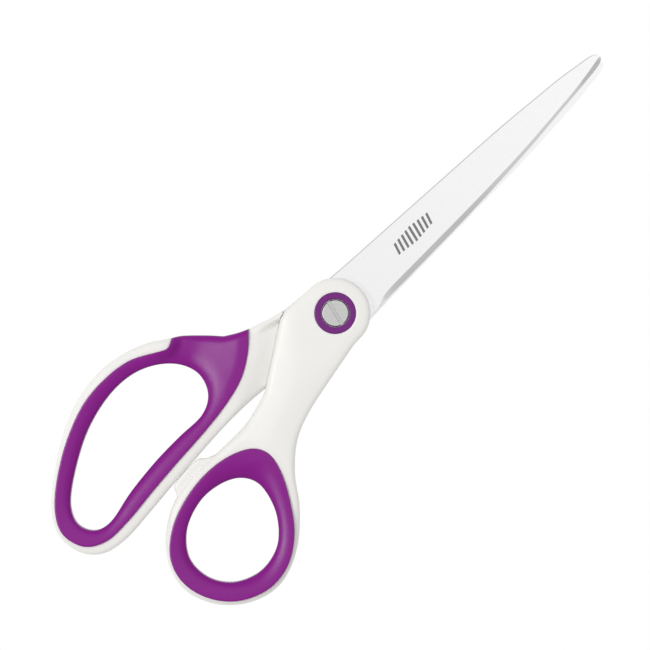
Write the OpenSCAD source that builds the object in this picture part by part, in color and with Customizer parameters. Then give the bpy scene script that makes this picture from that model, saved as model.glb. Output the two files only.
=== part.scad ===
// Office scissors with soft grips: two steel blades on a slotted pivot screw, each moulded into a
// rigid handle whose loop is lined with a soft grip.
// Frame: origin on the pivot axis, on the plane that the scissors lie on. +Y points to the blade
// tips, +Z out of the front face, +X towards the thumb loop. Millimetres.

/* [Overall] */
// Length over all, from the end of the finger loop to the tip of the front blade
total_length = 205; // [195:1:215]
// Thickness of both handles, front face to rear face
handle_t = 11; // [11:0.5:13]

/* [Blades] */
// Thickness of each blade from its tang to the pivot
blade_t = 1.6; // [1.4:0.1:1.6]
// Thickness of each blade at its tip
tip_t = 0.9; // [0.8:0.1:1.2]
// Gap between the two inner faces, which the blade washer fills
blade_gap = 0.2; // [0.15:0.05:0.25]
// How much shorter the rear blade is than the front blade
rear_blade_short = 0.6; // [0:0.1:1]

/* [Grips] */
// Thickness of the soft lining on the wall of each loop
lining_t = 1.3; // [1:0.1:1.5]
// Thickness of the soft grip on the front and on the rear face
flange_t = 3.2; // [2.8:0.1:3.4]
// Rounding of the soft grip where it turns into the loop
lip_r = 2.4; // [1.6:0.1:2.6]

/* [Pivot] */
// Radius of the round boss of each handle
boss_r = 10; // [9.8:0.1:10.1]
// Radius of the coloured ring round the screw head
ring_r = 5.9; // [5.4:0.1:6.2]
// Radius of the screw head and of the nut head
head_r = 3.85; // [3.7:0.05:4]
// Radius of the smooth shoulder that the front blade turns on
shoulder_r = 2; // [1.8:0.05:2.05]
// Width of the screwdriver slots
slot_w = 1; // [0.8:0.1:1.2]
// Direction of the slot in the screw head, from +X
slot_angle = -12; // [-90:1:90]

/* [Hidden] */
$fn = 96;

steel = "gainsboro";
white = "whitesmoke";
purple = "purple";
nylon = "ivory";

// The outlines below are drawn for scissors 205 mm long.
plan = total_length / 205;
over = 1; // how far a cutter runs past what it cuts
reach = 130; // larger than the scissors in any direction from a handle

// Heights of the stack at the pivot. Each one has a twin on the rear side, at handle_t - z.
mid_z = handle_t / 2;
inner_z = mid_z + blade_gap / 2; // inner face of the front blade
outer_z = inner_z + blade_t; // its outer face at the pivot
seat_z = outer_z + 1.2; // floor of the boss, under the spring washer
head_z = seat_z + 0.5; // underside of the screw head
head_t = 1.7;
ring_t = 1.2;
ring_z = handle_t - ring_t;

// Radii of the fits at the pivot
hub_r = 2.65; // bore of both blades and of both boss floors
fit = 0.03; // radial clearance of a sleeve or a barrel in its bore
thread_r = 1.5;
pocket_r = head_r + 0.2; // wall round the screw head, and inside of the coloured ring

// --- Curves -------------------------------------------------------------------------------

// Point at t on the smooth span from b to c, where a comes before b and d after c
function span_point(a, b, c, d, t) =
    0.5 * (2 * b + (c - a) * t + (2 * a - 5 * b + 4 * c - d) * t ^ 2
        + (3 * b - 3 * c + d - a) * t ^ 3);

// Smooth closed curve through the points p, with n steps to a span
function closed_curve(p, n = 4) =
    let (m = len(p))
    [for (i = [0:m - 1], k = [0:n - 1])
        span_point(p[(i + m - 1) % m], p[i], p[(i + 1) % m], p[(i + 2) % m], k / n)];

// Smooth open curve through the points p. It leaves out the last point, so that curves chain.
function open_curve(p, n = 4) =
    let (m = len(p))
    [for (i = [0:m - 2], k = [0:n - 1])
        span_point(
            i == 0 ? 2 * p[0] - p[1] : p[i - 1], p[i], p[i + 1],
            i == m - 2 ? 2 * p[m - 1] - p[m - 2] : p[i + 2], k / n)];

function reversed(p) = [for (i = [len(p) - 1:-1:0]) p[i]];

// Left-hand unit normal at point i of the path p
function left_normal(p, i, closed) =
    let (m = len(p),
         a = closed ? p[(i + m - 1) % m] : p[max(i - 1, 0)],
         b = closed ? p[(i + 1) % m] : p[min(i + 1, m - 1)],
         d = (b - a) / norm(b - a))
    [-d[1], d[0]];

// The path p moved sideways by d, to its left where d is above zero. All closed outlines run
// anticlockwise, so that for them the left is the inside.
function shifted(p, d, closed = true) =
    [for (i = [0:len(p) - 1]) p[i] + d * left_normal(p, i, closed)];

// A profile that rises from the rear face, completed by its twin below the front face
function both_faces(profile) =
    concat(profile, reversed([for (p = profile) [handle_t - p[0], p[1]]]));

// --- Outlines, seen from the front, anticlockwise ----------------------------------------------

// Boss of each handle, from its right side over the top to its left side
boss_arc = plan * boss_r * [for (a = [0:7.5:180]) [cos(a), sin(a)]];

// Edge of a handle that crosses the other one, from its boss down to its inner corner at corner_x.
// The rear handle has the same edge, turned over.
function crossing_edge(corner_x) = plan * concat(
    open_curve([[-10.2, -9.2], [-10, -11.4], [-8.7, -13.7], [corner_x, -29.4]], 3),
    [[corner_x, -29.4]]
);
front_corner = 2;
rear_corner = -1.7;

// Front handle: boss, edge that crosses the rear handle, inner side, thumb loop, right side
front_outline = concat(
    boss_arc,
    crossing_edge(front_corner),
    plan * open_curve([
        [2.7, -31], [3.9, -34.6], [5.3, -41], [5.5, -50], [5.2, -60], [6.6, -68.6], [10.4, -76],
        [17.2, -82.5], [26, -85.2], [34.8, -82.4], [41.4, -76], [44.6, -68], [43.9, -60.5],
        [39.7, -52.6], [32.5, -45.2], [25, -39.8], [18.7, -32.9], [15.2, -25], [12.8, -15], [10.3, -3]
    ]),
    plan * [[10.3, -3]]
);

// Block on the thumb loop that stops the handles as they close
stop_outline = plan * concat(
    [[8, -52]],
    open_curve([[5.5, -52], [4.4, -55], [2.75, -57.7], [3.45, -66.2], [5.9, -68], [8, -70]]),
    [[8, -70]]
);

// Edge of the rear handle that the finger grip wraps over, from its notch up to its top corner
wrap_edge = plan * concat(
    open_curve([[-27, -38.3], [-25.2, -35.5], [-20.6, -30.6], [-17.2, -27.4]]),
    open_curve([[-17.2, -27.4], [-15.2, -24], [-13.8, -20.9]]),
    [[-13.8, -20.9]]
);

// Rear handle: boss, left side, finger loop, inner side, edge that crosses the front handle
rear_outline = concat(
    boss_arc,
    plan * open_curve([[-10.2, -5], [-11.2, -12.5], [-13.8, -20.9]]),
    reversed(wrap_edge),
    plan * open_curve([
        [-27.6, -39.3], [-31, -45], [-33.6, -53], [-34.2, -61.5], [-32.2, -71.5], [-27.6, -81.3],
        [-21.2, -90.4], [-14.8, -97.3], [-8, -100.3], [-0.8, -99], [3.8, -94.3], [5.2, -87],
        [4.5, -78], [3.3, -67], [2.3, -56], [1.5, -46], [1.3, -37], [1.5, -31.5]
    ]),
    [for (p = reversed(crossing_edge(rear_corner))) [-p[0], p[1]]]
);

// Soft grip of the thumb loop, and the opening inside it
thumb_grip_outline = plan * closed_curve([
    [16, -41.2], [11.4, -43.6], [8.4, -50.1], [7.5, -58.5], [9, -67.9], [12.5, -76.1],
    [18.1, -82], [25.5, -84], [33.5, -81.8], [40, -76.1], [43.4, -67.5], [42.3, -59.1],
    [37.3, -51.8], [30.3, -46.6], [22.4, -42.5]
]);
thumb_hole = plan * closed_curve([
    [21, -49.1], [15.5, -51.4], [12.5, -57], [12, -64.5], [15.1, -72.7], [21.5, -77.9],
    [29.2, -77.8], [35.4, -73.3], [38.2, -65.5], [36.1, -57.4], [29.4, -51.4]
]);

// Free side of the finger grip, from its notch round the loop and up to its top corner
grip_side = plan * concat(
    open_curve([[-27, -38.3], [-25.9, -40.3], [-25.7, -41.6]]),
    open_curve([
        [-25.7, -41.6], [-26.5, -43.3], [-30.6, -51.4], [-31.7, -60], [-30.6, -69.9],
        [-26.2, -80.7], [-20.1, -90.2], [-14.1, -96.5], [-8, -99.2], [-1.5, -97.2], [1.8, -91.4],
        [1.9, -83], [0.6, -72], [-0.5, -61], [-1.4, -50], [-2.8, -40.1], [-5.1, -32],
        [-9.2, -25.5], [-13.8, -20.9]
    ])
);
finger_grip_outline = concat(grip_side, [for (i = [len(wrap_edge) - 1:-1:1]) wrap_edge[i]]);
finger_hole = plan * closed_curve([
    [-14, -39.9], [-19.8, -41.8], [-24.5, -46.8], [-27.4, -54], [-27.5, -63], [-24.7, -73.4],
    [-19.4, -83.3], [-13.3, -91.3], [-7.6, -94.1], [-2.7, -91.9], [-1.4, -86.5], [-3.5, -77],
    [-4.9, -66], [-5.3, -56], [-5.3, -47.4], [-8.3, -42]
]);

// Recess for the finger grip, which runs out past the wrapped edge
finger_pocket = concat(
    grip_side, [wrap_edge[len(wrap_edge) - 1]], reversed(shifted(wrap_edge, over, false))
);
// Strip along the wrapped edge where the grip goes through the whole thickness
wrap_strip = concat(
    shifted(wrap_edge, over, false), reversed(shifted(wrap_edge, -lining_t, false))
);

// --- Where the handles cross ---------------------------------------------------------------

// Each handle gives up half of its thickness where the other one lies across it at rest and swings
// over it. It keeps clear of the crossing edge of the other one by lap_gap, and it gives up all of
// that half above lap_top, where the back of the other blade comes to lie when the scissors open.
lap_gap = 0.05;
lap_top = -10.5;

function lap_area(corner_x) = concat(
    plan * [[30, -33], [30, 30], [-30, 30], [-30, lap_top]],
    [for (p = shifted(crossing_edge(corner_x), -lap_gap, false)) if (p[1] < plan * lap_top) p],
    plan * [[corner_x - lap_gap, -33]]
);

// Slope that leads down from the top of a handle to where the other one crosses it
ramp_start = plan * 21.3; // distance of its upper end from the pivot
ramp_side = 33; // direction in which it falls, from +X
ramp_fall = 22; // its angle
ramp_reach = 10;

// --- Blades ---------------------------------------------------------------------------------

// Stations of the front blade from the end of its tang to its tip: y, x of the spine, x of the
// cutting edge, width of the bevel. Where the blade isn't ground, the bevel only breaks the corner.
edge_break = 0.1;
blade_stations = plan * [
    [-35, 7, 12, edge_break], [-25, 3.5, 10.5, edge_break], [-14, -2, 8.5, edge_break],
    [-4, -6.8, 7.4, edge_break], [4, -8.2, 7.55, edge_break], [10, -8, 7.4, edge_break],
    [15, -7.8, 7.25, 1.5], [30, -7.2, 6.8, 1.6], [50, -6.5, 5.95, 1.35], [70, -5.7, 4.5, 0.9],
    [90, -4.3, 2.5, 0.8], [98, -3.3, 1.65, 1.1], [102.5, -2.65, 1, 1.3], [104.3, -1.8, 0.3, 0.9],
    [104.7, -1, -0.3, 0.3]
];
stations = concat(open_curve(blade_stations), [blade_stations[len(blade_stations) - 1]]);
taper_y = 10; // the blade gets thinner from here to its tip

// Holes in the tang that the plastic of the handle fills, so that the blade can't pull out
lock_holes = plan * [[3.2, -16.5], [7.3, -27.5]];

// The six corners of a blade's cross-section at a station, anticlockwise seen from the tip, for a
// blade that is shorter by short
function blade_section(s, short) =
    let (tip_y = blade_stations[len(blade_stations) - 1][0],
         along = max(0, (s[0] - taper_y) / (tip_y - taper_y)),
         y = s[0] - short * along,
         t = blade_t + (tip_t - blade_t) * along,
         low_z = inner_z + t - min(s[3], t - edge_break),
         spine_break = 0.3)
    [
        [s[1], y, inner_z], [s[1], y, inner_z + t - spine_break], [s[1] + spine_break, y, inner_z + t],
        [s[2] - s[3], y, inner_z + t], [s[2], y, low_z], [s[2], y, inner_z]
    ];

// --- Shared shapes ----------------------------------------------------------------------------

// Solid through a stack of closed rings that have the same number of points, each anticlockwise
// seen from the end of the stack
module skin(rings) {
    m = len(rings[0]);
    last = len(rings) - 1;
    sides = [for (i = [0:last - 1], k = [0:m - 1])
        [i * m + k, (i + 1) * m + k, (i + 1) * m + (k + 1) % m, i * m + (k + 1) % m]];
    start = [for (k = [0:m - 1]) k];
    end = [for (k = [m - 1:-1:0]) last * m + k];
    polyhedron([for (ring = rings) each ring], concat([start, end], sides), convexity = 6);
}

// Solid with the given outline, inset at each height by the profile's [height, inset] pairs
module loft(outline, profile) {
    skin([for (p = profile) [for (q = shifted(outline, p[1])) [q[0], q[1], p[0]]]]);
}

// Plate with the given outline, from z0 up to z1
module slab(outline, z0, z1) {
    translate([0, 0, z0]) linear_extrude(z1 - z0) polygon(outline);
}

// Round disc or round cutter on the pivot axis
module bore(r, z0, z1) {
    translate([0, 0, z0]) cylinder(r = r, h = z1 - z0);
}

// Turns a front-side shape over, onto the rear side
module flip() {
    translate([0, 0, handle_t]) rotate([0, 180, 0]) children();
}

// A blade with its tang, its pivot bore and its lock holes
module blade(short) {
    difference() {
        skin([for (s = stations) blade_section(s, short)]);
        bore(hub_r, 0, handle_t);
        lock_pins();
    }
}

// The plastic in the lock holes of a tang
module lock_pins() {
    for (p = lock_holes)
        translate([p[0], p[1], 0]) cylinder(r = 1.5, h = handle_t);
}

// Slot in a handle that holds the tang of its blade, round the plastic in the lock holes
module tang_slot() {
    tang = [for (s = stations) if (s[0] <= taper_y) s];
    difference() {
        slab(concat([for (s = tang) [s[2], s[0]]], reversed([for (s = tang) [s[1], s[0]]])),
            inner_z, outer_z);
        lock_pins();
    }
}

// What is cut from the upper half of the rear handle, so that the front half can swing over it.
// The front half has its inner corner at corner_x.
module lap_cutter(corner_x) {
    slab(lap_area(corner_x), mid_z - blade_gap / 2, handle_t + over);
    translate([-ramp_start * cos(ramp_side), -ramp_start * sin(ramp_side), handle_t])
        rotate([0, 0, ramp_side]) rotate([0, ramp_fall, 0])
            translate([0, -reach / 2, 0]) cube([ramp_reach, reach, handle_t]);
}

// Bores of a handle's boss: hub, pocket of the screw head, and recess of the coloured ring
module boss_bores() {
    bore(hub_r, -over, handle_t + over);
    bore(pocket_r, seat_z, handle_t + over);
    bore(ring_r, ring_z, handle_t + over);
}

// Recesses of a soft grip on both faces of a loop, and the opening with room for the lining
module grip_recess(pocket, hole) {
    slab(pocket, handle_t - flange_t, handle_t + over);
    slab(pocket, -over, flange_t);
    slab(shifted(hole, -lining_t), -over, handle_t + over);
}

// The strip of a handle that its grip wraps over
module wrapped_strip() {
    intersection() {
        slab(wrap_strip, -over, handle_t + over);
        slab(finger_pocket, -over, handle_t + over);
    }
}

// A soft grip with a rounded lip, round a rigid web of the handle. Its children are where it goes
// through the whole thickness besides the lining of the loop.
module soft_grip(outline, hole) {
    lip = [for (a = [90:-30:0]) [lip_r * (1 - sin(a)), -lip_r * (1 - cos(a))]];
    difference() {
        slab(outline, 0, handle_t);
        loft(hole, both_faces(concat([[-over, -lip_r]], lip)));
        difference() {
            translate([-reach, -reach, flange_t])
                cube([2 * reach, reach, handle_t - 2 * flange_t]);
            slab(shifted(hole, -lining_t), 0, handle_t);
            children();
        }
    }
}

// Head with a screwdriver slot and a small chamfer, its top side up
module slotted_head(angle) {
    chamfer = 0.25;
    slot_depth = 0.8;
    difference() {
        rotate_extrude() polygon([
            [0, 0], [head_r, 0], [head_r, head_t - chamfer], [head_r - chamfer, head_t], [0, head_t]
        ]);
        rotate([0, 0, angle])
            translate([-head_r - over, -slot_w / 2, head_t - slot_depth])
                cube([2 * (head_r + over), slot_w, slot_depth + over]);
    }
}

// Coloured ring in the recess of the boss, with both its edges eased
module pivot_ring() {
    ease = 0.2;
    rotate_extrude() polygon([
        [pocket_r, ring_z], [ring_r, ring_z], [ring_r, handle_t - ease], [ring_r - ease, handle_t],
        [pocket_r + ease, handle_t], [pocket_r, handle_t - ease]
    ]);
}

// --- Sub-parts ----------------------------------------------------------------------------

module front_blade() color(steel) blade(0);

module rear_blade() color(steel) flip() blade(rear_blade_short);

module front_handle() color(white) difference() {
    union() {
        difference() {
            slab(front_outline, 0, handle_t);
            flip() lap_cutter(rear_corner);
        }
        slab(stop_outline, 2, handle_t - 2);
    }
    grip_recess(thumb_grip_outline, thumb_hole);
    boss_bores();
    tang_slot();
}

module rear_handle() color(white) difference() {
    slab(rear_outline, 0, handle_t);
    lap_cutter(front_corner);
    grip_recess(finger_pocket, finger_hole);
    wrapped_strip();
    flip() {
        boss_bores();
        tang_slot();
    }
}

module thumb_grip() color(purple) soft_grip(thumb_grip_outline, thumb_hole);

module finger_grip() color(purple) soft_grip(finger_grip_outline, finger_hole) wrapped_strip();

module front_pivot_ring() color(purple) pivot_ring();

module rear_pivot_ring() color(purple) flip() pivot_ring();

// Head, smooth shoulder through the front blade, and threaded end in the nut
module pivot_screw() color(steel) {
    translate([0, 0, head_z]) slotted_head(slot_angle);
    bore(shoulder_r, handle_t - inner_z + 0.02, head_z);
    bore(thread_r, 1.2, handle_t - inner_z + 0.02);
}

// Head on the rear side, and a barrel that ends level with the rear blade's inner face
module pivot_nut() color(steel) difference() {
    flip() {
        translate([0, 0, head_z]) slotted_head(90);
        bore(hub_r - fit, inner_z, head_z);
    }
    bore(thread_r + fit, -over, handle_t);
}

// Sleeve between the shoulder of the screw and the front blade
module pivot_bush() color(nylon) difference() {
    bore(hub_r - fit, inner_z + 0.02, seat_z - 0.02);
    bore(shoulder_r + fit, 0, handle_t);
}

// Disc spring under the screw head: it stands on its outer edge and carries the head on its inner
// edge
module spring_washer() {
    t = 0.3;
    outer = head_r - 0.15;
    inner = shoulder_r + 0.1;
    color(steel) rotate_extrude() polygon([
        [outer, seat_z + 0.01], [outer, seat_z + 0.01 + t], [inner, head_z], [inner, head_z - t]
    ]);
}

module nut_washer() color(steel) difference() {
    bore(head_r - 0.15, handle_t - head_z, handle_t - seat_z);
    bore(hub_r + fit, 0, handle_t);
}

module blade_washer() color(nylon) difference() {
    bore(hub_r + 2.35, handle_t - inner_z, inner_z - 0.02);
    bore(shoulder_r + 0.1, 0, handle_t);
}

front_blade();
rear_blade();
front_handle();
rear_handle();
thumb_grip();
finger_grip();
front_pivot_ring();
rear_pivot_ring();
pivot_screw();
pivot_nut();
pivot_bush();
spring_washer();
nut_washer();
blade_washer();
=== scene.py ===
"""Looks of the office scissors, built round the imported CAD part.

Lengths are in millimetres until a mesh is made. The outlines of the handles and of the grips are
read off the CAD nodes, and their faces get the soft relief that the CAD leaves out.
"""

import math

import bmesh
import bpy
import numpy as np
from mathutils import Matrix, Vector
from mathutils.geometry import delaunay_2d_cdt


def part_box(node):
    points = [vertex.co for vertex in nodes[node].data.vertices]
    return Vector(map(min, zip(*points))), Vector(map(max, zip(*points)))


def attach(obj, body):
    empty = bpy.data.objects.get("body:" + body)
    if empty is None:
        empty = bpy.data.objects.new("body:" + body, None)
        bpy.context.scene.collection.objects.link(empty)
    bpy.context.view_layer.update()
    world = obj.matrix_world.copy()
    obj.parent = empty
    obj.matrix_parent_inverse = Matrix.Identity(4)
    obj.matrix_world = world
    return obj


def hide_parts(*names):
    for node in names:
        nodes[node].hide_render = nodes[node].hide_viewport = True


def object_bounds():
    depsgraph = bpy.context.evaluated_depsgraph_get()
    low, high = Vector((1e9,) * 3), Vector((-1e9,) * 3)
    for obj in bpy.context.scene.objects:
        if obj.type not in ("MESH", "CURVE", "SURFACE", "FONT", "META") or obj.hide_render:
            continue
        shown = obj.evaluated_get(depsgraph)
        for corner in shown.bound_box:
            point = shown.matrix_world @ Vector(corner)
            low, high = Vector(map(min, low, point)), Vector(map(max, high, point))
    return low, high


MM = 0.001

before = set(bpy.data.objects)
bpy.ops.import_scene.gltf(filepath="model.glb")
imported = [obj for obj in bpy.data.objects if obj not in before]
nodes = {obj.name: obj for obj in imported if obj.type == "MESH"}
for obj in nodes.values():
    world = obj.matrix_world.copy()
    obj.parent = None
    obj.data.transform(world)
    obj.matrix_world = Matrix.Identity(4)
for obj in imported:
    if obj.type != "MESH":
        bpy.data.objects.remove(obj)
cad_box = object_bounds()

THICK = cad_box[1].z / MM  # front face of the handles; their rear face is at 0
MID = THICK / 2
LAP_GAP = 0.14  # each handle's lap face lies this far from the middle plane
RING_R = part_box("front_pivot_ring")[1][0] / MM
LOOP_EDGE = 2.0  # rounding of the outer edge of the loops
BOSS_EDGE = 1.4  # rounding of the outer edge of the boss and the neck
TAB_DROP = 2.0  # the stop block lies this much lower than the face
RAMP_DEPTH = 3.3  # depth of the slope that leads down to the crossing
FLOOR = RAMP_DEPTH - 0.2  # a depth at which that slope has nearly ended
FAR_SIDE = (0.69, 0.72)  # direction in which the far side of both loops faces


# --- Outlines ---------------------------------------------------------------------------------

def section(node, z):
    """Closed loops, anticlockwise and largest first, where the plane at height z cuts a node."""
    mesh = nodes[node].data
    mesh.calc_loop_triangles()
    co = np.array([v.co for v in mesh.vertices]) / MM
    links = {}
    for tri in mesh.loop_triangles:
        p = co[list(tri.vertices)]
        ends = []
        for a, b in ((0, 1), (1, 2), (2, 0)):
            if (p[a, 2] > z) != (p[b, 2] > z):
                q = p[a] + (p[b] - p[a]) * (z - p[a, 2]) / (p[b, 2] - p[a, 2])
                ends.append((round(q[0], 3), round(q[1], 3)))
        if len(ends) == 2 and ends[0] != ends[1]:
            links.setdefault(ends[0], []).append(ends[1])
            links.setdefault(ends[1], []).append(ends[0])
    loops = []
    while links:
        start = here = next(iter(links))
        loop = []
        while True:
            loop.append(here)
            there = links[here].pop()
            links[there].remove(here)
            for end in (here, there):
                if end in links and not links[end]:
                    del links[end]
            here = there
            if here == start:
                break
        loops.append(tidy(np.array(loop)))
    return sorted(loops, key=area, reverse=True)


def area(loop):
    """Area inside a closed loop, below zero if the loop runs clockwise."""
    x, y = loop.T
    return 0.5 * (x * np.roll(y, -1) - y * np.roll(x, -1)).sum()


def turns(loop):
    """How far the closed loop turns at each of its points, in degrees."""
    ahead = np.roll(loop, -1, 0) - loop
    behind = loop - np.roll(loop, 1, 0)
    cross = behind[:, 0] * ahead[:, 1] - behind[:, 1] * ahead[:, 0]
    return np.degrees(np.arctan2(cross, (behind * ahead).sum(1)))


def tidy(loop):
    """The loop anticlockwise, without points that lie on a straight stretch."""
    if area(loop) < 0:
        loop = loop[::-1]
    return loop[np.abs(turns(loop)) > 0.15]


def smooth(loop, step=0.7, corner=24):
    """A closed loop of points step apart on a smooth curve that keeps the sharp corners."""
    n = len(loop)
    sharp = np.flatnonzero(np.abs(turns(loop)) > corner)
    if len(sharp) == 0:
        stretches = [np.vstack([loop[-1:], loop, loop[:2]])]
    else:
        stretches = []
        for i, j in zip(sharp, np.append(sharp[1:], sharp[0] + n), strict=True):
            p = loop[np.arange(i, j + 1) % n]
            stretches.append(np.vstack([2 * p[:1] - p[1:2], p, 2 * p[-1:] - p[-2:-1]]))
    t = np.linspace(0, 1, 12, endpoint=False)[:, None]
    out = []
    for p in stretches:
        spans = [
            0.5 * (2 * b + (c - a) * t + (2 * a - 5 * b + 4 * c - d) * t**2
                   + (3 * b - 3 * c + d - a) * t**3)
            for a, b, c, d in zip(p, p[1:], p[2:], p[3:], strict=False)
        ]
        dense = np.vstack([*spans, p[-2:-1]])
        along = np.append(0, np.cumsum(np.hypot(*np.diff(dense, axis=0).T)))
        marks = np.linspace(0, along[-1], max(2, round(along[-1] / step)) + 1)[:-1]
        out.append(np.column_stack([np.interp(marks, along, dense[:, k]) for k in (0, 1)]))
    return np.vstack(out)


def segments(*loops):
    """The line segments of closed loops, as pairs of points."""
    return np.vstack([np.stack([p, np.roll(p, -1, 0)], 1) for p in loops])


def in_chunks(points, function):
    """The function of all points, taken a few hundred at a time to save memory."""
    parts = [function(points[i : i + 300, None]) for i in range(0, max(1, len(points)), 300)]
    return np.concatenate(parts)


def distance(points, lines):
    """Distance from each point to the nearest of the line segments."""
    a, ab = lines[:, 0], lines[:, 1] - lines[:, 0]

    def nearest(p):
        t = np.clip(((p - a) * ab).sum(2) / (ab**2).sum(1), 0, 1)
        return np.sqrt(((p - a - t[..., None] * ab) ** 2).sum(2).min(1))

    return in_chunks(points, nearest)


def inside(points, lines):
    """Which points lie inside the closed loops that the line segments make."""
    a, b = lines[:, 0], lines[:, 1]
    slope = (b[:, 0] - a[:, 0]) / np.where(a[:, 1] == b[:, 1], 1, b[:, 1] - a[:, 1])

    def odd(p):
        straddles = (a[:, 1] > p[..., 1]) != (b[:, 1] > p[..., 1])
        left = p[..., 0] < a[:, 0] + (p[..., 1] - a[:, 1]) * slope
        return (straddles & left).sum(1) % 2 == 1

    return in_chunks(points, odd)


# --- Relief -----------------------------------------------------------------------------------

def quarter(d, width, depth):
    """Drop of an edge rounded by a quarter of an ellipse, at the distance d from it."""
    inward = 1 - np.clip(d / width, 0, 1)
    return depth * (1 - np.sqrt(np.clip(1 - inward**2, 0, 1)))


def ease(t):
    """Smooth rise from 0 to 1 as t goes from 0 to 1, and flat outside that."""
    t = np.clip(t, 0, 1)
    return t * t * (3 - 2 * t)


def soft_step(x, softness):
    """Zero below zero and x above it, with a soft bend between."""
    return softness * np.logaddexp(0, x / softness)


def ramp(points, side):
    """Depth of the slope that leads down to where the other handle crosses; side is 1 or -1."""
    start, aim, fall, softness = 21.3, math.radians(33), math.tan(math.radians(22)), 0.7
    s = start + side * points[:, 0] * math.cos(aim) + points[:, 1] * math.sin(aim)
    return np.minimum(fall * soft_step(s, softness), RAMP_DEPTH)


def recess(points, shoulder):
    """The slope on the front of the rear handle, which stops short of the shoulder's edge."""
    margin, blend = 1.0, 1.6
    return ramp(points, 1) * ease((distance(points, shoulder) - margin) / blend)


def handle_drop(points, outer, grip):
    """How far a handle's face lies below its highest level. Its outer edge is rounded, with a
    shallow crown inside that, and it dips where it meets the soft grip and the coloured ring."""
    width = np.interp(points[:, 1], [-50, -25], [LOOP_EDGE, BOSS_EDGE])
    crown = np.interp(points[:, 1], [-20, -8], [10.0, 4.2])
    beside_grip = distance(points, grip)
    to_outer = distance(points, outer)
    return (
        quarter(to_outer, width, 0.65 * width)
        + 0.11 * crown * np.clip(1 - to_outer / crown, 0, 1) ** 2
        + quarter(beside_grip, 0.25, 0.2)
        + 0.4 * (1 - ease(beside_grip / 3.5))
        + quarter(np.abs(np.hypot(*points.T) - RING_R), 0.3, 0.3)
    )


def grip_drop(points, hole, near, far, free):
    """How far a soft grip's face lies below its highest level. A flat band runs along the far side
    of the grip, and from a crease beside it the face slopes down. On the near side it slopes down
    from the edge itself. All round, it rolls over into the hole with a broad lip. The free edge,
    which wraps over the handle, is rounded off."""
    to_hole, to_near, to_far = (distance(points, lines) for lines in (hole, near, far))
    band = to_hole + np.minimum(to_near, to_far)
    flat = np.clip(0.3 * band, 0.9, 2.8)
    past = to_far - flat
    run_in = np.full(len(points), 9.0)
    if len(free):
        run_in = np.interp(distance(points, free), [6, 10], [3.5, 9])
    slope = 0.18 * (soft_step(past, 0.25) - soft_step(past - 12, 1.0)) * ease(to_near / run_in)
    lip = np.clip(0.75 * (band - flat), 1.6, 5.2)
    drop = slope + quarter(to_hole, lip, np.clip(0.42 * lip, 0.8, 1.8))
    drop += quarter(np.minimum(to_near, to_far), 0.3, 0.25)
    if len(free):
        drop += quarter(distance(points, free), 2.2, 1.5)
    return drop


# --- Meshes -----------------------------------------------------------------------------------

RINGS = (0.07, 0.27, 0.6, 1.0, 1.5, 2.1, 2.8, 3.6)  # distances of points from every edge
GRID = 1.4


def new_object(name, points, faces, sharp=32):
    """Mesh object from points in millimetres, shaded smooth where it turns by less than sharp."""
    mesh = bpy.data.meshes.new(name)
    mesh.from_pydata([Vector(p) * MM for p in points], [], faces)
    mesh.validate()
    mesh.shade_smooth()
    mesh.set_sharp_from_angle(angle=math.radians(sharp))
    obj = bpy.data.objects.new(name, mesh)
    bpy.context.scene.collection.objects.link(obj)
    return obj


def pillow(name, loops, top, bottom, rings=RINGS):
    """Closed solid over the area inside loops, with its faces at the heights top and bottom, which
    are functions of points in the plane."""
    lines = segments(*loops)
    fixed = np.vstack(loops)
    edges, first = [], 0
    for p in loops:
        edges += [(first + i, first + (i + 1) % len(p)) for i in range(len(p))]
        first += len(p)

    extra = []
    for p in loops:
        along = np.roll(p, -1, 0) - np.roll(p, 1, 0)
        normal = np.column_stack([-along[:, 1], along[:, 0]]) / np.hypot(*along.T)[:, None]
        for d in rings:
            for side in (1, -1):
                q = p + side * d * normal
                q = q[inside(q, lines)]
                extra.append(q[distance(q, lines) > 0.93 * d])
    low, high = fixed.min(0), fixed.max(0)
    xs, ys = (np.arange(low[k], high[k], GRID) for k in (0, 1))
    grid = np.stack(np.meshgrid(xs, ys), -1).reshape(-1, 2)
    grid = grid[inside(grid, lines)]
    extra.append(grid[distance(grid, lines) > rings[-1] + 0.4])
    extra = np.vstack(extra)
    cells = np.round(extra / 0.16).astype(int)
    extra = extra[np.sort(np.unique(cells, axis=0, return_index=True)[1])]

    flat = [Vector(p) for p in np.vstack([fixed, extra])]
    verts, _, tris, *_ = delaunay_2d_cdt(flat, edges, [], 0, 1e-5, False)
    plan = np.array(verts)
    tris = np.array([t for t in tris if len(t) == 3])
    tris = tris[inside(plan[tris].mean(1), lines)]
    n = len(plan)
    links = {(t[i], t[(i + 1) % 3]) for t in tris.tolist() for i in range(3)}
    rim = [(i, j) for i, j in links if (j, i) not in links]
    points = np.vstack([
        np.column_stack([plan, top(plan)]), np.column_stack([plan, bottom(plan)])
    ])
    faces = tris.tolist() + (tris[:, ::-1] + n).tolist()
    faces += [(j, i, i + n, j + n) for i, j in rim]
    used = np.unique(np.concatenate([np.ravel(f) for f in faces]))
    renumber = {int(old): new for new, old in enumerate(used)}
    return new_object(name, points[used], [[renumber[int(i)] for i in f] for f in faces])


def joined(objs, name):
    """One object from several."""
    target = objs[0]
    with bpy.context.temp_override(active_object=target, selected_editable_objects=objs):
        bpy.ops.object.join()
    target.name = name
    return target


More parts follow.
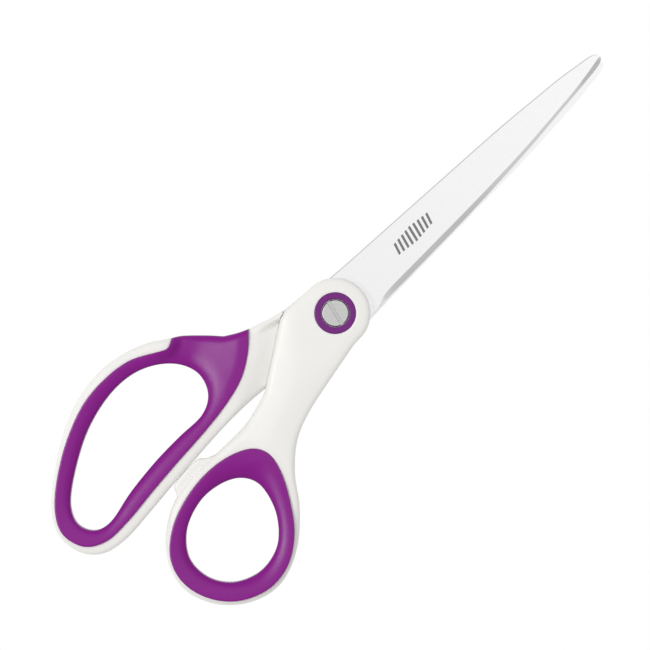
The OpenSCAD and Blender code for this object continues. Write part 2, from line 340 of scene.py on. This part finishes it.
def crisp(node, name, sharp=20, bevel=0.0):
    """A copy of a CAD node with its facets merged and its corners kept, or slightly bevelled."""
    bm = bmesh.new()
    bm.from_mesh(nodes[node].data)
    bmesh.ops.remove_doubles(bm, verts=bm.verts, dist=0.002 * MM)
    bmesh.ops.dissolve_limit(bm, angle_limit=math.radians(0.6), verts=bm.verts, edges=bm.edges)
    bm.verts.ensure_lookup_table()
    points = [v.co / MM for v in bm.verts]
    faces = [[v.index for v in f.verts] for f in bm.faces]
    bm.free()
    obj = new_object(name, points, faces, sharp)
    if bevel:
        mod = obj.modifiers.new("bevel", "BEVEL")
        mod.width = bevel * MM
        mod.segments = 2
        mod.angle_limit = math.radians(35)
        mod.harden_normals = True
    return obj


# --- Materials --------------------------------------------------------------------------------

def material(name, color, roughness, metallic=0.0, specular=0.5):
    """A plain material, which the calls after it give its grain."""
    mat = bpy.data.materials.new(name)
    mat.use_nodes = True
    bsdf = mat.node_tree.nodes["Principled BSDF"]
    bsdf.inputs["Base Color"].default_value = (*color, 1)
    bsdf.inputs["Roughness"].default_value = roughness
    bsdf.inputs["Metallic"].default_value = metallic
    bsdf.inputs["Specular IOR Level"].default_value = specular
    return mat


def texture(mat, scale, stretch=(1, 1, 1)):
    """Noise over the object's own coordinates, stretched along the axes with a small factor."""
    tree = mat.node_tree
    place = tree.nodes.new("ShaderNodeTexCoord")
    shape = tree.nodes.new("ShaderNodeMapping")
    shape.inputs["Scale"].default_value = stretch
    noise = tree.nodes.new("ShaderNodeTexNoise")
    noise.inputs["Scale"].default_value = scale
    noise.inputs["Detail"].default_value = 3.0
    tree.links.new(place.outputs["Object"], shape.inputs["Vector"])
    tree.links.new(shape.outputs["Vector"], noise.inputs["Vector"])
    return noise.outputs["Fac"]


def bump(mat, height, strength, depth):
    """Lets a texture rise and fall out of the material's surface."""
    tree = mat.node_tree
    node = tree.nodes.new("ShaderNodeBump")
    node.inputs["Strength"].default_value = strength
    node.inputs["Distance"].default_value = depth
    tree.links.new(height, node.inputs["Height"])
    tree.links.new(node.outputs["Normal"], tree.nodes["Principled BSDF"].inputs["Normal"])


def vary(mat, factor, socket, low, high):
    """Drives a socket of the material between low and high by a texture."""
    tree = mat.node_tree
    node = tree.nodes.new("ShaderNodeMapRange")
    node.inputs["From Min"].default_value = 0.3
    node.inputs["From Max"].default_value = 0.7
    node.inputs["To Min"].default_value = low
    node.inputs["To Max"].default_value = high
    tree.links.new(factor, node.inputs["Value"])
    tree.links.new(node.outputs["Result"], tree.nodes["Principled BSDF"].inputs[socket])


white = material("white_moulding", (0.835, 0.825, 0.795), 0.38, specular=0.4)
vary(white, texture(white, 900), "Roughness", 0.34, 0.42)
bump(white, texture(white, 2600), 0.06, 0.0002)

purple = material("soft_purple", (0.222, 0.002, 0.225), 0.33, specular=0.32)
vary(purple, texture(purple, 700), "Roughness", 0.31, 0.35)
bump(purple, texture(purple, 5200), 0.12, 0.0002)

ring_purple = material("ring_purple", (0.155, 0.006, 0.18), 0.35, specular=0.35)

steel = material("ground_steel", (0.885, 0.885, 0.887), 0.24, metallic=1.0)
grain = texture(steel, 9000, stretch=(0.035, 1, 1))
vary(steel, grain, "Roughness", 0.21, 0.29)
bump(steel, grain, 0.01, 0.0001)

screw_steel = material("screw_steel", (0.58, 0.585, 0.575), 0.3, metallic=1.0)
vary(screw_steel, texture(screw_steel, 3000), "Roughness", 0.26, 0.36)
nylon = material("nylon", (0.8, 0.79, 0.75), 0.5)
etched = material("etched", (0.2, 0.2, 0.205), 0.6, metallic=0.6)


def add(obj, mat, body, slot, *replaced):
    """Gives a piece its material and its body, and hides the CAD nodes that it stands for. The slot
    is not used.
    """
    obj.data.materials.clear()
    obj.data.materials.append(mat)
    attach(obj, body)
    if replaced:
        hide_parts(*replaced)
    return obj


# --- Handles ----------------------------------------------------------------------------------

thumb_edge = smooth(section("thumb_grip", 0.5)[0])
thumb_hole = smooth(section("thumb_grip", MID)[1])
finger_edge = smooth(section("finger_grip", 0.5)[0])
finger_hole = smooth(section("finger_grip", MID)[1])
ring_edge = smooth(section("front_handle", THICK - 0.4)[2], 0.5)
thumb_lines, finger_lines = segments(thumb_edge), segments(finger_edge)


def front_handle():
    """Front handle: its upper half, which also has the boss, its lower half behind the lap, and the
    block that stops the closing handles."""
    plain = smooth(section("front_handle", THICK - 0.4)[0])
    outline = segments(plain)
    lap = MID + LAP_GAP
    top = pillow(
        "front_top", [plain, thumb_edge, ring_edge],
        lambda p: THICK - handle_drop(p, outline, thumb_lines), lambda p: np.full(len(p), lap),
    )
    lower = section("front_handle", FLOOR)[0]
    without_block = split(lower, outline, outside=True)[1]
    behind_block = split(plain, segments(lower), outside=False)[0]
    base = pillow(
        "front_base", [smooth(np.vstack([behind_block, without_block])), thumb_edge],
        lambda p: np.full(len(p), lap + 0.05),
        lambda p: np.minimum(handle_drop(p, outline, thumb_lines) + ramp(p, -1), MID),
    )
    return joined([top, base, stop_block(outline)], "front_handle_shell")


def split(loop, lines, outside):
    """The one stretch of a loop that lies clear of the closed lines, on the side asked for, and the
    rest of the loop, which goes on where that stretch ends."""
    clear = (inside(loop, lines) != outside) & (distance(loop, lines) > 0.2)
    first = np.flatnonzero(clear & ~np.roll(clear, 1))[0]
    loop, clear = np.roll(loop, -first, 0), np.roll(clear, -first)
    return loop[clear], loop[~clear]


def stop_block(outline):
    """The block that stands out of the front handle's outline, with its root inside the handle."""
    root, edge_width, edge_depth = 1.8, 0.7, 0.6
    nose = split(smooth(section("front_handle", THICK - 2.3)[0]), outline, outside=True)[0]
    along = nose[-1] - nose[0]
    inward = root * np.array([-along[1], along[0]]) / np.hypot(*along)
    block = smooth(np.vstack([nose, nose[-1] + inward, nose[0] + inward]))
    nose_lines = segments(nose)[:-1]

    def drop(p):
        return TAB_DROP + quarter(distance(p, nose_lines), edge_width, edge_depth)

    return pillow("stop_block", [block], lambda p: THICK - drop(p), drop)


def rear_handle():
    """Rear handle: its lower half, which also has the boss, and its upper half beside the lap."""
    lower = [smooth(section("rear_handle", 0.5)[0]), ring_edge]
    upper = [smooth(section("rear_handle", THICK - FLOOR)[0])]
    outline = segments(lower[0])
    outer = outline[distance(outline.mean(1), finger_lines) > 0.06]
    shoulder = outer[outer[:, 0, 0] < -8]
    lap = MID - LAP_GAP
    base = pillow(
        "rear_base", lower, lambda p: np.full(len(p), lap),
        lambda p: handle_drop(p, outer, finger_lines),
    )
    top = pillow(
        "rear_top", upper,
        lambda p: THICK - handle_drop(p, outer, finger_lines) - recess(p, shoulder),
        lambda p: np.full(len(p), lap - 0.05),
    )
    return joined([base, top], "rear_handle_shell")


def grip(name, edge, hole, held, free):
    """A soft grip in its handle, which holds it along the held lines of its edge."""
    along = held[:, 1] - held[:, 0]
    outward = along[:, 1] * FAR_SIDE[0] - along[:, 0] * FAR_SIDE[1] > 0
    far, near = held[outward], held[~outward]

    def drop(p):
        return grip_drop(p, segments(hole), near, far, free)

    return pillow(name, [edge, hole], lambda p: THICK - drop(p), drop)


add(front_handle(), white, "front_half", "white_plastic", "front_handle")
add(rear_handle(), white, "rear_half", "white_plastic", "rear_handle")

rear_outline = segments(smooth(section("rear_handle", 0.5)[0]))
wrapped = distance(finger_lines.mean(1), rear_outline) > 0.2
thumb_cushion = grip("thumb_cushion", thumb_edge, thumb_hole, thumb_lines, [])
finger_cushion = grip(
    "finger_cushion", finger_edge, finger_hole, finger_lines[~wrapped], finger_lines[wrapped]
)
add(thumb_cushion, purple, "front_half", "soft_grip", "thumb_grip")
add(finger_cushion, purple, "rear_half", "soft_grip", "finger_grip")

# --- Blades and pivot ---------------------------------------------------------------------------

add(crisp("front_blade", "front_blade_ground", 8), steel, "front_half", "blade_steel", "front_blade")
add(crisp("rear_blade", "rear_blade_ground", 8), steel, "rear_half", "blade_steel", "rear_blade")

for node, body in (("front_pivot_ring", "front_half"), ("rear_pivot_ring", "rear_half")):
    add(crisp(node, node + "_cap", 20, 0.12), ring_purple, body, "pivot_ring", node)
for node, body in (("pivot_screw", "screw"), ("pivot_nut", "rear_half")):
    add(crisp(node, node + "_turned", 20, 0.06), screw_steel, body, "screw_steel", node)
for node, body, mat, slot in (
    ("spring_washer", "front_half", screw_steel, "screw_steel"),
    ("nut_washer", "rear_half", screw_steel, "screw_steel"),
    ("pivot_bush", "front_half", nylon, "nylon"),
    ("blade_washer", "rear_half", nylon, "nylon"),
):
    add(crisp(node, node + "_turned", 20), mat, body, slot, node)


def etched_mark():
    """A row of slanted bars etched in the front blade, where such blades carry a mark."""
    y0, pitch, bars, width, lean = 25.0, 1.55, 9, 0.75, 0.5
    root, lift = -0.1, 0.012  # the bars stand in the steel and reach this much out of it
    _, y_tip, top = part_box("front_blade")[1] / MM
    taper, taper_y = 0.7, 10  # the blade loses this thickness from here to its tip
    points, faces = [], []
    for i in range(bars):
        y, half = y0 + i * pitch, 2.3 - 1.5 * abs(i - (bars - 1) / 2) / bars
        for height in (root, lift):
            for dx, dy in ((-half, lean), (half, -lean), (half, width - lean), (-half, width + lean)):
                z = top - taper * (y + dy - taper_y) / (y_tip - taper_y) + height
                points.append((dx - 1, y + dy, z))
        low, high = range(8 * i, 8 * i + 4), range(8 * i + 4, 8 * i + 8)
        faces += [low[::-1], high]
        faces += [(low[k - 1], low[k], high[k], high[k - 1]) for k in range(4)]
    return new_object("blade_mark", points, [list(f) for f in faces])


add(etched_mark(), etched, "front_half", "blade_steel")

# --- Stage --------------------------------------------------------------------------------------

LEFT = (-math.cos(math.radians(46.2)), -math.sin(math.radians(46.2)), 0)  # left in the picture


def backdrop():
    """The white ground under the scissors. It is lit by itself, so that no shadow falls on it, and
    it is clear from below."""
    half = 1500
    ground = new_object(
        "ground", [(-half, -half, 0), (half, -half, 0), (half, half, 0), (-half, half, 0)],
        [(0, 1, 2, 3)],
    )
    mat = bpy.data.materials.new("white_ground")
    mat.use_nodes = True
    tree = mat.node_tree
    tree.nodes.clear()
    glow = tree.nodes.new("ShaderNodeEmission")
    clear = tree.nodes.new("ShaderNodeBsdfTransparent")
    side = tree.nodes.new("ShaderNodeNewGeometry")
    mix = tree.nodes.new("ShaderNodeMixShader")
    out = tree.nodes.new("ShaderNodeOutputMaterial")
    tree.links.new(side.outputs["Backfacing"], mix.inputs["Fac"])
    tree.links.new(glow.outputs["Emission"], mix.inputs[1])
    tree.links.new(clear.outputs["BSDF"], mix.inputs[2])
    tree.links.new(mix.outputs["Shader"], out.inputs["Surface"])
    ground.data.materials.append(mat)
    ground.location.z = -0.05 * MM
    ground.visible_diffuse = False
    ground.visible_glossy = False


def sky():
    """Even, soft surround over a bright ground, with a bright patch above the blades and a small
    one low on the left."""
    world = bpy.data.worlds.new("surround")
    bpy.context.scene.world = world
    world.use_nodes = True
    tree = world.node_tree
    place = tree.nodes.new("ShaderNodeTexCoord")

    def glow(direction, low, high, to_low, to_high):
        """Brightness that depends on the angle from a direction, given by its cosine."""
        dot = tree.nodes.new("ShaderNodeVectorMath")
        dot.operation = "DOT_PRODUCT"
        dot.inputs[1].default_value = Vector(direction).normalized()
        tree.links.new(place.outputs["Generated"], dot.inputs[0])
        node = tree.nodes.new("ShaderNodeMapRange")
        node.interpolation_type = "SMOOTHSTEP"
        for socket, number in (
            ("From Min", low), ("From Max", high), ("To Min", to_low), ("To Max", to_high)
        ):
            node.inputs[socket].default_value = number
        tree.links.new(dot.outputs["Value"], node.inputs["Value"])
        return node.outputs["Result"]

    total = glow(LEFT, -0.9, 0.9, 0.53, 0.5)
    for term in (
        glow((0, 0.46, 0.89), 0.832, 0.929, 0.0, 0.74),
        glow(LEFT, 0.88, 0.99, 0.0, 0.8),
        glow((0, 0, -1), -0.1, 0.2, 0.0, 0.42),
    ):
        add_up = tree.nodes.new("ShaderNodeMath")
        add_up.operation = "ADD"
        tree.links.new(total, add_up.inputs[0])
        tree.links.new(term, add_up.inputs[1])
        total = add_up.outputs[0]
    tree.links.new(total, tree.nodes["Background"].inputs["Strength"])
    tree.nodes["Background"].inputs["Color"].default_value = (1, 1, 1, 1)


def area_light(name, place, aim, size, power):
    """A square light that faces its aim."""
    data = bpy.data.lights.new(name, "AREA")
    data.size = size * MM
    data.energy = power
    obj = bpy.data.objects.new(name, data)
    bpy.context.scene.collection.objects.link(obj)
    obj.location = Vector(place) * MM
    obj.rotation_euler = (Vector(aim) - Vector(place)).to_track_quat("-Z", "Y").to_euler()
    obj.visible_camera = False


def camera():
    """Long lens straight above, rolled so that the blades point up to the right."""
    lens, roll, width, centre = 400, 46.2, 184.4, (0.42, -4.42)
    data = bpy.data.cameras.new("camera")
    data.lens = lens
    data.clip_end = 10
    obj = bpy.data.objects.new("camera", data)
    bpy.context.scene.collection.objects.link(obj)
    height = 8 + width * lens / data.sensor_width
    obj.location = Vector((*centre, height)) * MM
    obj.rotation_euler = (0, 0, math.radians(roll))
    bpy.context.scene.camera = obj


backdrop()
sky()
area_light("key", (-380, -410, 850), (0, 0, 0), 340, 4.4)
camera()
bpy.context.scene.view_settings.view_transform = "Standard"
